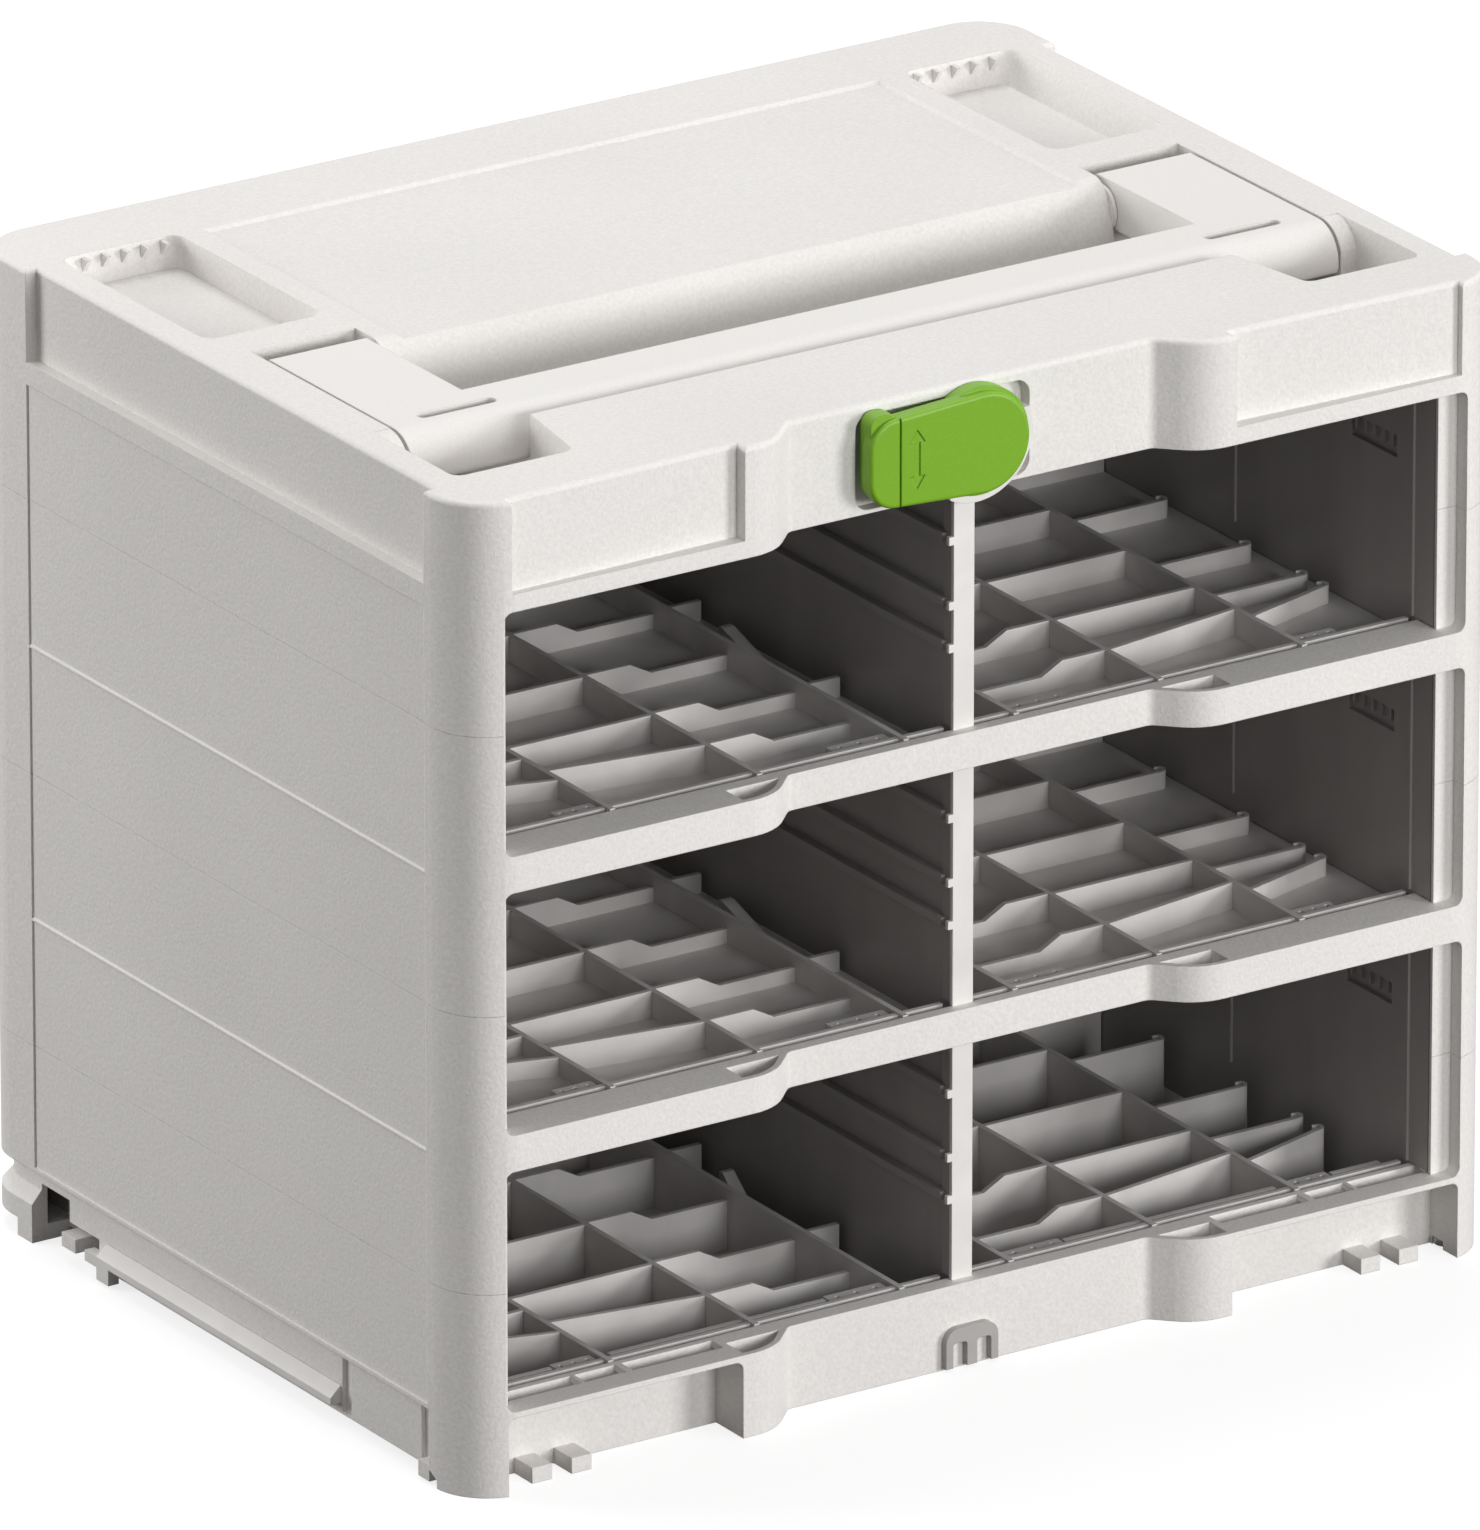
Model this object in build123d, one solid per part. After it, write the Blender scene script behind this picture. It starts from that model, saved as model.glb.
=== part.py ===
from build123d import *
import os

os.makedirs("parts", exist_ok=True)

# A rack of stacked moulded modules that holds six small tool cases in two columns.
# X is to the right, Y to the back and Z up. The origin is on the floor, under the middle.

# Overall size
WIDTH = 396.0
DEPTH = 296.0
LEVEL_PITCH = 94.5
FIRST_SHELF_Z = 16.3
TOP_BAND = 37.2
HEIGHT = FIRST_SHELF_Z + 3 * LEVEL_PITCH + TOP_BAND
CORNER_R = 20.0
WALL = 3.0
BACK_WALL = 6.0
FIT = 0.3

# Front outline: the middle is set back between two curved pillars
WAVE_DEPTH = 12.4
WAVE_X = 69.0
WAVE_SLOPE = 12.4
WAVE_R_OUT = 20.0
WAVE_R_IN = 4.0

# Shelf bars and openings
BAR_H = 12.3
BAR_DEPTH = 17.0
PLATE_T = 2.0
POST_W = 15.0
OPEN_R = 3.2
STEP_DEPTH = 6.3
POST_DEPTH = 7.6
SEAM_BELOW = 41.2
SEAM_GAP = 0.06
TONGUE_T = 1.2
TONGUE_H = 3.0

# Inner walls: the left column of cells is a little wider than the right one
CELL_INSET = {-1: 19.0, 1: 22.5}
LINER_T = 2.5
SIDE_RIB_T = 2.0
SIDE_RIB_YS = (-95.0, -10.0, 75.0)
MULLION_HALF = 3.9
MULLION_SETBACK = 3.7
MULLION_T = 1.5
PANEL_HALF = 2.2
PANEL_NOSE_HALF = 3.5
PANEL_NOSE_T = 5.0
RIDGE_H = 2.8
RIDGE_OUT = 1.8
RIDGE_SETBACK = 3.0
RIDGE_DROPS = (17.7, 39.7, 54.2)

# Shelf trays
RIB_T = 2.0
TRAY_RISE = 0.4
TRAY_REAR_GAP = 4.0
TRAY_FLOOR_T = 1.4
BASE_FLOOR_T = 2.0
TRAY_GAP = 0.4
TRAY_STEP = 4.3
OUTER_FLOOR_LIFT = 3.0
CURL_R = 3.0

X_HALF = WIDTH / 2
Y_FRONT = -DEPTH / 2
Y_BACK = DEPTH / 2
Y_MID = Y_FRONT + WAVE_DEPTH
Y_BAR_BACK = Y_FRONT + BAR_DEPTH
Y_POST_BACK = Y_FRONT + POST_DEPTH
Y_INNER_BACK = Y_BACK - BACK_WALL
X_INNER = X_HALF - WALL
OPEN_HALF = X_HALF - POST_W
CELL_X = {side: X_HALF - inset for side, inset in CELL_INSET.items()}
TRAY_RIB_X = (21.0, 76.5, X_HALF - 66.0)


def shelf_z(level):
    """Underside of a shelf bar, counted up from the bottom one."""
    return FIRST_SHELF_Z + level * LEVEL_PITCH


SEAM_Z = [shelf_z(level) - SEAM_BELOW for level in (1, 2, 3)]


def block(x0, x1, y0, y1, z0, z1):
    """Box between two corners."""
    return Pos((x0 + x1) / 2, (y0 + y1) / 2, (z0 + z1) / 2) * Box(x1 - x0, y1 - y0, z1 - z0)


def both(shape):
    """A right-hand shape with its left-hand twin."""
    return shape + mirror(shape, about=Plane.YZ)


def slab(face, z0, z1):
    """Plan face raised from one height to another."""
    return Pos(0, 0, z0) * extrude(face, z1 - z0)


def along_y(face, y0, y1):
    """Front-view face, as X and Z, made solid between two depths."""
    return Pos(0, y0, 0) * extrude(Plane.XZ * face, -(y1 - y0))


def along_x(face, x0, x1):
    """Side-view face, as Y and Z, made solid between two places across."""
    return Pos(x0, 0, 0) * extrude(Plane.YZ * face, x1 - x0)


def polygon(*points):
    return make_face(Polyline(*points, close=True))


def strip(y0, y1):
    """Plan band across the whole width between two depths."""
    return Pos(0, (y0 + y1) / 2) * Rectangle(WIDTH + 2, y1 - y0)


def outline(inset=0.0):
    """Plan of the housing: rounded corners and a front that waves back in the middle."""
    x, y = X_HALF - inset, Y_BACK - inset
    yf, ym = Y_FRONT + inset, Y_MID + inset
    xa, xb = WAVE_X + WAVE_SLOPE + 0.4 * inset, WAVE_X + 0.4 * inset
    face = polygon((-x, yf), (-xa, yf), (-xb, ym), (xb, ym), (xa, yf), (x, yf), (x, y), (-x, y))
    corners = [v for v in face.vertices() if abs(abs(v.X) - x) < 0.01]
    face = fillet(corners, CORNER_R - inset)
    outs = [v for v in face.vertices() if abs(abs(v.X) - xa) < 0.01 and abs(v.Y - yf) < 0.01]
    face = fillet(outs, WAVE_R_OUT - inset)
    ins = [v for v in face.vertices() if abs(abs(v.X) - xb) < 0.01 and abs(v.Y - ym) < 0.01]
    return fillet(ins, WAVE_R_IN + inset)


PLAN = outline()


def room(x_half, y0, y1):
    """Plan of the space inside the walls, rounded in its corners like the outside."""
    return Pos(0, (y0 + y1) / 2) * RectangleRounded(2 * x_half, y1 - y0, CORNER_R - WALL)


ROOM = room(X_INNER, Y_POST_BACK, Y_INNER_BACK)


def cell_cut(level):
    """Opening of one level: a rounded frame at the front and a smaller one behind it."""
    z0 = shelf_z(level) + BAR_H
    z1 = shelf_z(level + 1)
    face = Pos(0, (z0 + z1) / 2) * RectangleRounded(2 * OPEN_HALF, z1 - z0, OPEN_R)
    front = along_y(face, Y_FRONT - 1, Y_FRONT + STEP_DEPTH)
    return front + block(-CELL_X[-1], CELL_X[1], Y_FRONT + STEP_DEPTH - 0.1, Y_POST_BACK + 0.1, z0, z1)


def side_ribs(z0, z1):
    """Upright ribs inside the side walls that the inner liners lean on."""
    ribs = []
    for side, x in CELL_X.items():
        xa, xb = sorted((side * (x + LINER_T), side * (X_INNER + 0.1)))
        ribs += [block(xa, xb, y - SIDE_RIB_T / 2, y + SIDE_RIB_T / 2, z0, z1) for y in SIDE_RIB_YS]
    return ribs


TONGUE_Y_HALF = Y_BACK - 48.0
TONGUE_X_HALF = X_HALF - 78.0
TONGUE_FIT = 0.15


def tongue(z, grow=0.0):
    """Strips on top of a module that locate the next one, or with some growth their rebates."""
    z0, z1 = z - 0.1 - 5 * grow, z + TONGUE_H + grow
    y, x = TONGUE_Y_HALF + grow, TONGUE_X_HALF + grow
    side = block(X_INNER - 5 * grow, X_INNER + TONGUE_T + grow, -y, y, z0, z1)
    return both(side) + block(-x, x, Y_INNER_BACK - 5 * grow, Y_INNER_BACK + TONGUE_T + grow, z0, z1)


# Outside panels, with a thin bead at each shelf
PANEL_Y0 = Y_FRONT + 24.0
PANEL_Y1 = Y_BACK - 35.0
PANEL_SINK = 0.6
PANEL_TOP_DROP = 39.0
BEAD_Z = 2.2
BEAD_H = 1.7
BACK_RECESS = 2.5
BACK_RECESS_HALF = 83.0


def outside_panels(z0, z1):
    """Shallow fields on both sides and a set-back middle at the rear."""
    side = block(X_HALF - PANEL_SINK, X_HALF + 1, PANEL_Y0, PANEL_Y1, z0, z1)
    back = block(-BACK_RECESS_HALF, BACK_RECESS_HALF, Y_BACK - BACK_RECESS, Y_BACK + 1, z0, z1)
    return both(side) + back


def side_bead(level):
    """Thin raised line across each side panel."""
    z = shelf_z(level) + BEAD_Z
    x = X_HALF - PANEL_SINK - 0.1
    points = [(x, z), (X_HALF, z + 0.3), (X_HALF, z + 0.6 * BEAD_H), (x, z + BEAD_H)]
    return both(along_y(polygon(*points), PANEL_Y0, PANEL_Y1))


PIT_DEPTH = 9.0
PIT_WALL = 2.2
PIT_X = (70.0, 93.0)
PIT_BACK_Y = Y_FRONT + 11.8


def curve_pits(z_top):
    """Core-outs behind the two curved pillars of a bar, following the front wall."""
    x0, x1 = PIT_X
    right = Pos((x0 + x1) / 2, PIT_BACK_Y - 10) * Rectangle(x1 - x0, 20)
    pit = slab(outline(PIT_WALL) & right, z_top - PIT_DEPTH, z_top + 5)
    return both(pit)


def bar(level):
    """Front bar of a shelf, which follows the wave."""
    z0 = shelf_z(level)
    return slab(PLAN & strip(Y_FRONT, Y_BAR_BACK), z0, z0 + BAR_H)


def module(level, z0, z1):
    """One stacked module: outer walls, posts, back wall, shelf bar and shelf plate."""
    zb = shelf_z(level)
    body = slab(PLAN, z0, z1)
    body -= slab(ROOM, z0 - 1, z1 + 1)
    body -= cell_cut(level - 1)
    body -= cell_cut(level)
    body += side_ribs(z0, zb) + side_ribs(zb + PLATE_T, z1)
    body += bar(level)
    body -= curve_pits(zb + BAR_H)
    plate = room(X_INNER + 0.1, Y_BAR_BACK - 20, Y_INNER_BACK + 0.1)
    body += slab(plate & strip(Y_BAR_BACK - 0.1, Y_BACK), zb, zb + PLATE_T)
    body -= outside_panels(z0 - 1, z1 + 1)
    body += side_bead(level)
    body += tongue(z1)
    body -= tongue(z0, TONGUE_FIT)
    return body - rod_bores(z0 - 1, z1 + 1)


def side_walls(z0, z1):
    """Walls, posts and back of one stretch of housing, open at the front and inside."""
    body = slab(PLAN, z0, z1)
    return body - slab(ROOM, z0 - 1, z1 + 1)


# Base
SKIRT_Z = 25.7
SKIRT_INSET = 4.0
SKIRT_T = 2.0
FLANGE_T = 2.0
BASE_PLATE_Z = 3.0
BASE_PLATE_T = 2.5
BASE_LEDGE_T = 2.0
BASE_TOP = FIRST_SHELF_Z + BAR_H
PILLAR_X = 94.0
FRONT_POST_X = X_HALF - 15.7
FRONT_POST_Y = Y_FRONT + 23.0
POST_HEEL = (12.0, 5.6)
LEDGE_DEPTH = 9.4
LEDGE_SLOTS = ((95.6, 129.9), (132.5, 147.7), (149.2, X_HALF - 20.0))
BASE_PANEL_Y = Y_FRONT + 16.0
LEDGE_PANEL_T = 2.6
RECESS_R = 3.0
TAB_XS = (148.0, 162.9)
TAB_W = 7.5
TAB_H = 5.4
TAB_OUT = 10.5
SIDE_TAB_Y = (Y_BACK - 59.8, Y_BACK - 51.3)
SIDE_TAB_Z = (5.6, 10.4)
SIDE_TAB_IN = 9.0
FOOT_Y = Y_BACK - 33.0
FOOT_X = X_HALF - 16.0
FOOT_Z = 13.4
FOOT_SLOPE = 4.4
FOOT_STEP_Z = 6.2
FOOT_STEP_Y = Y_BACK - 24.0
NOTCH_HIGH = (Y_BACK - 50.0, 20.0)
NOTCH_LOW = (Y_BACK - 68.0, 12.4)
GROOVES = ((Y_FRONT + 75.2, Y_FRONT + 80.6), (Y_FRONT + 29.1, Y_FRONT + 33.6))
GROOVE_DEPTH = 1.4
SKIRT_X = X_HALF - SKIRT_INSET


def shell_under_tray():
    """Skirt and floor plate below the first opening."""
    behind = strip(BASE_PANEL_Y, Y_BACK + 1)
    body = slab(outline(SKIRT_INSET) & behind, BASE_PLATE_Z, SKIRT_Z + FLANGE_T)
    body += slab(PLAN & behind, SKIRT_Z, SKIRT_Z + FLANGE_T)
    inside = room(SKIRT_X - SKIRT_T, BASE_PANEL_Y + LEDGE_PANEL_T, Y_INNER_BACK)
    z0, z1 = BASE_PLATE_Z + BASE_PLATE_T, SKIRT_Z + FLANGE_T + 1
    body -= slab(inside, z0, z1)
    xa, xb = -CELL_X[-1] - LINER_T, CELL_X[1] + LINER_T
    body -= block(xa, xb, BASE_PANEL_Y + LEDGE_PANEL_T, 0, z0, z1)
    for y0, y1 in GROOVES:
        body -= both(block(SKIRT_X - GROOVE_DEPTH, SKIRT_X + 1, y0, y1, BASE_PLATE_Z + 1, SKIRT_Z - 0.5))
    low_y, low_z = NOTCH_LOW
    high_y, high_z = NOTCH_HIGH
    x_tab = X_HALF - SIDE_TAB_IN
    notch = block(x_tab, X_HALF, low_y, FOOT_Y, -1, low_z)
    notch += block(FOOT_X, X_HALF, high_y, FOOT_Y, -1, high_z)
    bracket = block(FOOT_X, x_tab, low_y, high_y, BASE_PLATE_Z, low_z)
    bracket += block(x_tab - 0.1, X_HALF, *SIDE_TAB_Y, *SIDE_TAB_Z)
    bracket += block(FOOT_X, FOOT_X + SKIRT_T, high_y - 0.1, FOOT_Y + 0.1, BASE_PLATE_Z, high_z + 0.1)
    return body - both(notch) + both(bracket)


def front_of_base():
    """Ledge on two curved pillars and corner posts, with recessed panels between them."""
    body = slab(PLAN & strip(Y_FRONT, BASE_PANEL_Y + LEDGE_PANEL_T), 0, BASE_TOP)
    z_mid = BASE_TOP - BASE_LEDGE_T - 25
    recess_w = FRONT_POST_X - PILLAR_X
    face = Pos(PILLAR_X + recess_w / 2, z_mid) * RectangleRounded(recess_w, 50, RECESS_R)
    body -= both(along_y(face, Y_FRONT - 1, BASE_PANEL_Y))
    for x0, x1 in LEDGE_SLOTS:
        slot = block(x0, x1, Y_FRONT + LEDGE_DEPTH, BASE_PANEL_Y, BASE_TOP - BASE_LEDGE_T - 1, BASE_TOP + 1)
        body -= both(slot)
    x_post = (X_HALF + FRONT_POST_X) / 2
    post_w, post_d = X_HALF - FRONT_POST_X, FRONT_POST_Y - Y_FRONT
    post = PLAN & Pos(x_post, Y_FRONT + post_d / 2) * Rectangle(post_w, post_d)
    run, rise = POST_HEEL
    heel = polygon((FRONT_POST_Y + 1, -1), (FRONT_POST_Y + 1, rise), (FRONT_POST_Y - run, -1))
    posts = both(slab(post, 0, SKIRT_Z + 0.1) - along_x(heel, FRONT_POST_X - 1, X_HALF + 1))
    return body + posts - curve_pits(BASE_TOP)


def stacking_tabs():
    """Small moulded blocks and rear feet that key the rack onto a case below."""
    tabs = block(SKIRT_X - 3, X_HALF, FRONT_POST_Y - 0.1, FRONT_POST_Y + 6.5, 1, 6.5)
    for x in TAB_XS:
        tabs += block(x, x + TAB_W, BASE_PANEL_Y - TAB_OUT, BASE_PANEL_Y + 0.1, 0, TAB_H)
    area = Pos((FOOT_X + X_HALF) / 2, FOOT_Y + 30) * Rectangle(X_HALF - FOOT_X, 60)
    tabs += slab(PLAN & area, FOOT_STEP_Z, FOOT_Z)
    low, high = PLAN & area, outline(SKIRT_INSET - 0.2) & area
    tabs += loft([Pos(0, 0, FOOT_Z - 0.1) * low, Pos(0, 0, FOOT_Z + FOOT_SLOPE) * high], ruled=True)
    tabs += block(FOOT_X, X_HALF, FOOT_Y, FOOT_STEP_Y, 0, FOOT_STEP_Z + 0.1)
    return both(tabs)


def base_module():
    """Bottom module: skirt, stacking tabs, front pillars and the lowest tray well."""
    z1 = SEAM_Z[0] - SEAM_GAP
    body = side_walls(SKIRT_Z, z1) - cell_cut(0)
    body -= block(-FRONT_POST_X, FRONT_POST_X, Y_FRONT - 5, Y_POST_BACK + 0.1, SKIRT_Z - 1, BASE_TOP)
    inner = room(SKIRT_X - SKIRT_T, BASE_PANEL_Y + LEDGE_PANEL_T, Y_INNER_BACK)
    feet = stacking_tabs() - slab(inner, BASE_PLATE_Z + BASE_PLATE_T, SKIRT_Z)
    body += shell_under_tray() + feet + front_of_base()
    body += side_ribs(SKIRT_Z, z1)
    body -= outside_panels(SKIRT_Z + 1.5, z1 + 1)
    body += tongue(z1)
    body -= rod_bores(-1, BASE_PLATE_Z, ROD_HEAD_R + 0.2)
    return body - rod_bores(BASE_PLATE_Z - 1, z1 + 1)


# Tie rods that hold the stack together
ROD_R = 2.5
ROD_X = X_HALF - 12.0
ROD_YS = (Y_FRONT + 11.5, Y_BACK - 17.0)
ROD_HEAD_R = 4.5
ROD_HEAD_H = 2.0
ROD_TOP = HEIGHT - 19.0


def rod_bores(z0, z1, radius=ROD_R + 0.25):
    """Clearance bores for the four tie rods."""
    bores = None
    for y in ROD_YS:
        bore = Pos(ROD_X, y, (z0 + z1) / 2) * Cylinder(radius, z1 - z0)
        bores = bore if bores is None else bores + bore
    return both(bores)


def tie_rods():
    """Four long screws from under the base plate into the top cover."""
    z0 = BASE_PLATE_Z
    return rod_bores(z0, ROD_TOP, ROD_R) + rod_bores(z0 - ROD_HEAD_H, z0, ROD_HEAD_R)


# Top cover
OPEN_TOP = shelf_z(3)
CEILING_T = 2.8
CEILING_Y0 = Y_MID + 5.6
RIM_X = X_HALF - 14.5
EDGE_R = 1.8
LIP_Y = Y_FRONT + 62.6
LIP_X = (X_HALF - 64.8, X_HALF - 58.7)
BAND_Y = Y_FRONT + 28.0
RECESS_FLOOR = HEIGHT - 26.0
RECESS_X = X_HALF - 20.8
RECESS_BACK_Y = 10.5
SIDE_POCKET_FLOOR = HEIGHT - 21.0
BRIDGE_Y = 26.8
REAR_POCKET_X = (X_HALF - 58.5, X_HALF - 19.5, X_HALF - 14.0)
REAR_POCKET_Y = (Y_BACK - 33.4, Y_BACK - 31.8)
REAR_POCKET_FLOOR = HEIGHT - 11.0
REAR_POCKET_R = 5.0
GUSSET_N = 5
GUSSET_PITCH = 7.4
GUSSET_X = X_HALF - 53.2
GUSSET_T = 1.5
GUSSET_OUT = 4.5
GUSSET_H = 6.0
BLOCK_X = X_HALF - 60.0
BLOCK_FRONT_Y = -5.5
BLOCK_FOOT_Y = -14.0
BLOCK_ROUND = 9.0
BLOCK_PANEL_X = X_HALF - 67.9
BLOCK_PANEL_Y = Y_BACK - 33.6
BLOCK_PANEL_SINK = 1.2
BLOCK_SLOPE = 1.5
SKIN = 3.0
COVER_RIB_T = 1.8
VOID_PITCH = 37.0

# Sunk fields for labels, open towards the deck
FIELD_Z = OPEN_TOP + 5.9
FIELD_FRONT_X = (93.4, X_HALF - 17.8)
FIELD_FRONT_DEPTH = (4.8, 2.6)
FIELD_SIDE_DEPTH = 4.1

# Handle
HANDLE_Z = HEIGHT - 0.2
HANDLE_T = 16.0
HANDLE_OUT_X = X_HALF - 22.0
HANDLE_IN_X = X_HALF - 58.5
HANDLE_FRONT_Y = Y_FRONT + 64.0
HANDLE_GRIP_Y = Y_FRONT + 95.5
HANDLE_BACK_Y = 2.6
HANDLE_ROUND = 12.0
HANDLE_SLOT_X = (X_HALF - 63.0, X_HALF - 34.0)
HANDLE_SLOT_Y = Y_FRONT + 80.5
HANDLE_SLOT_W = 4.6
PIVOT_Y = -3.0
PIVOT_Z = HEIGHT - 10.4
PIN_R = 3.0
PIN_IN_X = X_HALF - 74.0
PIN_OUT_X = X_HALF - 40.0
EAR_R = 8.0


def grid_voids(x0, x1, y0, y1, z0, z1):
    """Pockets under the deck, with a stiffening rib between each two."""
    nx = max(1, round((x1 - x0) / VOID_PITCH))
    ny = max(1, round((y1 - y0) / VOID_PITCH))
    wx = (x1 - x0 - (nx - 1) * COVER_RIB_T) / nx
    wy = (y1 - y0 - (ny - 1) * COVER_RIB_T) / ny
    voids = []
    for i in range(nx):
        for j in range(ny):
            xa = x0 + i * (wx + COVER_RIB_T)
            ya = y0 + j * (wy + COVER_RIB_T)
            voids.append(block(xa, xa + wx, ya, ya + wy, z0, z1))
    return voids


def cover_voids():
    """Hollow underside of the cover, following the deck above it."""
    z0 = OPEN_TOP + CEILING_T
    x_wide, x_block, y_block = X_HALF - 18.0, X_HALF - 67.0, BLOCK_PANEL_Y - 2.4
    zones = [(-x_block + 2, x_block - 2, LATCH_WALL_BACK, LIP_Y - SKIN, HEIGHT - SKIN)]
    zones += [(-x_block, x_block, 3.0, y_block, HEIGHT - BLOCK_PANEL_SINK - SKIN)]
    zones += [(-x_wide, x_wide, LIP_Y, 0.0, RECESS_FLOOR - SKIN)]
    zones += [(-x_wide, x_wide, REAR_POCKET_Y[1] + SKIN, Y_INNER_BACK, HEIGHT - SKIN)]
    for s in (-1, 1):
        xa, xb = sorted((s * (x_block + 5), s * x_wide))
        zones += [(xa, xb, BRIDGE_Y + SKIN, y_block, REAR_POCKET_FLOOR - SKIN)]
        zones += [(xa, xb, BAND_Y, LIP_Y - SKIN, SIDE_POCKET_FLOOR - SKIN)]
        zones += [(xa, xb, RECESS_BACK_Y + SKIN, BRIDGE_Y - SKIN, HEIGHT - SKIN)]
    voids = []
    for x0, x1, y0, y1, z1 in zones:
        voids += grid_voids(x0, x1, y0, y1, z0 - 1, z1)
    return voids


def handle_recess():
    """Space for the handle: arms, grip and finger gap, with open pockets in front of the arms."""
    space = block(-RECESS_X, RECESS_X, LIP_Y, RECESS_BACK_Y, RECESS_FLOOR, HEIGHT + 1)
    face = polygon((LIP_X[0], LIP_Y + 2), (LIP_X[1], BAND_Y), (RIM_X, BAND_Y), (RIM_X, LIP_Y + 2))
    corners = [v for v in face.vertices() if abs(v.Y - BAND_Y) < 0.01]
    face = fillet(corners, 4.0)
    space += both(slab(face, SIDE_POCKET_FLOOR, HEIGHT + 1))
    z_nose = HANDLE_Z - HANDLE_ROUND
    y_nose = HANDLE_FRONT_Y + HANDLE_ROUND
    nose = block(RECESS_X - 1, RIM_X, HANDLE_FRONT_Y - 2, y_nose, z_nose, HEIGHT + 1)
    nose -= Pos(0, y_nose, z_nose) * Rot(0, 90, 0) * Cylinder(HANDLE_ROUND, 2 * X_HALF)
    return space + both(nose)


def middle_block():
    """Rounded and drafted front of the middle block, with the ears that carry the handle."""
    z0 = RECESS_FLOOR - 0.1
    y1 = RECESS_BACK_Y + 1
    face = polygon((BLOCK_FRONT_Y, HEIGHT), (BLOCK_FOOT_Y, z0), (y1, z0), (y1, HEIGHT))
    nose = [v for v in face.vertices() if abs(v.X - BLOCK_FRONT_Y) < 0.01 and v.Y > RECESS_FLOOR + 1]
    body = along_x(fillet(nose, BLOCK_ROUND), -BLOCK_X, BLOCK_X)
    ear_t = HANDLE_IN_X - FIT - BLOCK_X
    ear = Pos(BLOCK_X + ear_t / 2, PIVOT_Y, PIVOT_Z) * Rot(0, 90, 0) * Cylinder(EAR_R, ear_t + 0.2)
    return body + both(ear)


def block_panel():
    """Sunk field on top of the middle block, open over its rounded front."""
    z0, z1 = HEIGHT - BLOCK_PANEL_SINK, HEIGHT + 1
    y0, y1 = BLOCK_FOOT_Y, BLOCK_PANEL_Y
    half, deep = BLOCK_PANEL_X - BLOCK_SLOPE, y1 - y0 - BLOCK_SLOPE
    low = Pos(0, y0 + deep / 2) * Rectangle(2 * half, deep)
    rise = (z1 - z0) / BLOCK_PANEL_SINK * BLOCK_SLOPE
    high = Pos(0, y0 + (deep + rise) / 2) * Rectangle(2 * (half + rise), deep + rise)
    return loft([Pos(0, 0, z0) * low, Pos(0, 0, z1) * high], ruled=True)


def rear_pockets():
    """Two trays at the rear of the deck, with a row of small gussets on the back wall."""
    xa, xb, xc = REAR_POCKET_X
    low_y, high_y = REAR_POCKET_Y
    z_top = HEIGHT + 1
    low_w, low_d, high_w, high_d = xb - xa, low_y - BRIDGE_Y, xc - xa, high_y - BRIDGE_Y
    low = Pos(xa + low_w / 2, BRIDGE_Y + low_d / 2) * RectangleRounded(low_w, low_d, REAR_POCKET_R)
    high = Pos(xa + high_w / 2, BRIDGE_Y + high_d / 2) * RectangleRounded(high_w, high_d, REAR_POCKET_R)
    pocket = loft([Pos(0, 0, REAR_POCKET_FLOOR) * low, Pos(0, 0, z_top) * high], ruled=True)
    z1 = HEIGHT - 1.2
    profile = polygon((high_y + 1, z1), (high_y - GUSSET_OUT, z1), (high_y + 1, z1 - GUSSET_H - 1))
    for i in range(GUSSET_N):
        x = GUSSET_X + i * GUSSET_PITCH
        pocket -= along_x(profile, x - GUSSET_T / 2, x + GUSSET_T / 2)
    return both(pocket)


def handle_stops():
    """Pads on the recess floor that the folded handle rests on."""
    x, y = HANDLE_OUT_X - 21, (HANDLE_FRONT_Y + HANDLE_GRIP_Y) / 2 + 3.25
    return both(block(x - 5, x + 5, y - 5, y + 5, RECESS_FLOOR - 0.1, HANDLE_Z - HANDLE_T - FIT))


def field_notches():
    """Plan of the label fields: slanted at the front, plain on the sides."""
    x0, x1 = FIELD_FRONT_X
    d0, d1 = FIELD_FRONT_DEPTH
    front = polygon((x0, Y_FRONT - 1), (x0, Y_FRONT + d0), (x1, Y_FRONT + d1), (x1, Y_FRONT - 1))
    xs = X_HALF - FIELD_SIDE_DEPTH
    side = polygon((xs, PANEL_Y0), (X_HALF + 1, PANEL_Y0), (X_HALF + 1, PANEL_Y1), (xs, PANEL_Y1))
    return both(front + side)


# Latch
LATCH_Z = OPEN_TOP + 18.3
LATCH_R = 16.9
LATCH_TIP_X = 43.5
LATCH_TIP_HALF = 15.0
LATCH_TIP_R = 10.0
LATCH_FRONT_Y = Y_MID - 8.7
LATCH_T = 5.2
LATCH_EDGE_R = 1.2
PAD_X = -37.2
PAD_W = 10.4
PAD_H = 28.0
PAD_R = 4.0
PAD_T = 8.0
PAD_RISE = 2.6
ROTOR_R = 18.3
ROTOR_Y = Y_MID - 5.4
ROTOR_BACK_Y = Y_MID - 0.5
POCKET_X = (-43.8, 22.2)
POCKET_Z = (OPEN_TOP + 1.3, HEIGHT - 3.8)
POCKET_R = 5.0
POCKET_Y = Y_MID + 4.6
SHAFT_R = 6.0
SHAFT_CLEAR = 0.05
WASHER_R = 9.0
WASHER_T = 1.4
SCREW_R = 2.5
SCREW_HEAD_R = 5.0
SCREW_HEAD_H = 2.6
SCREW_L = 12.0
SEAT_IN_R = 18.6
SEAT_OUT_R = 21.4
SEAT_LEFT_X = 10.0
SEAT_TOP = 7.0
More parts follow.
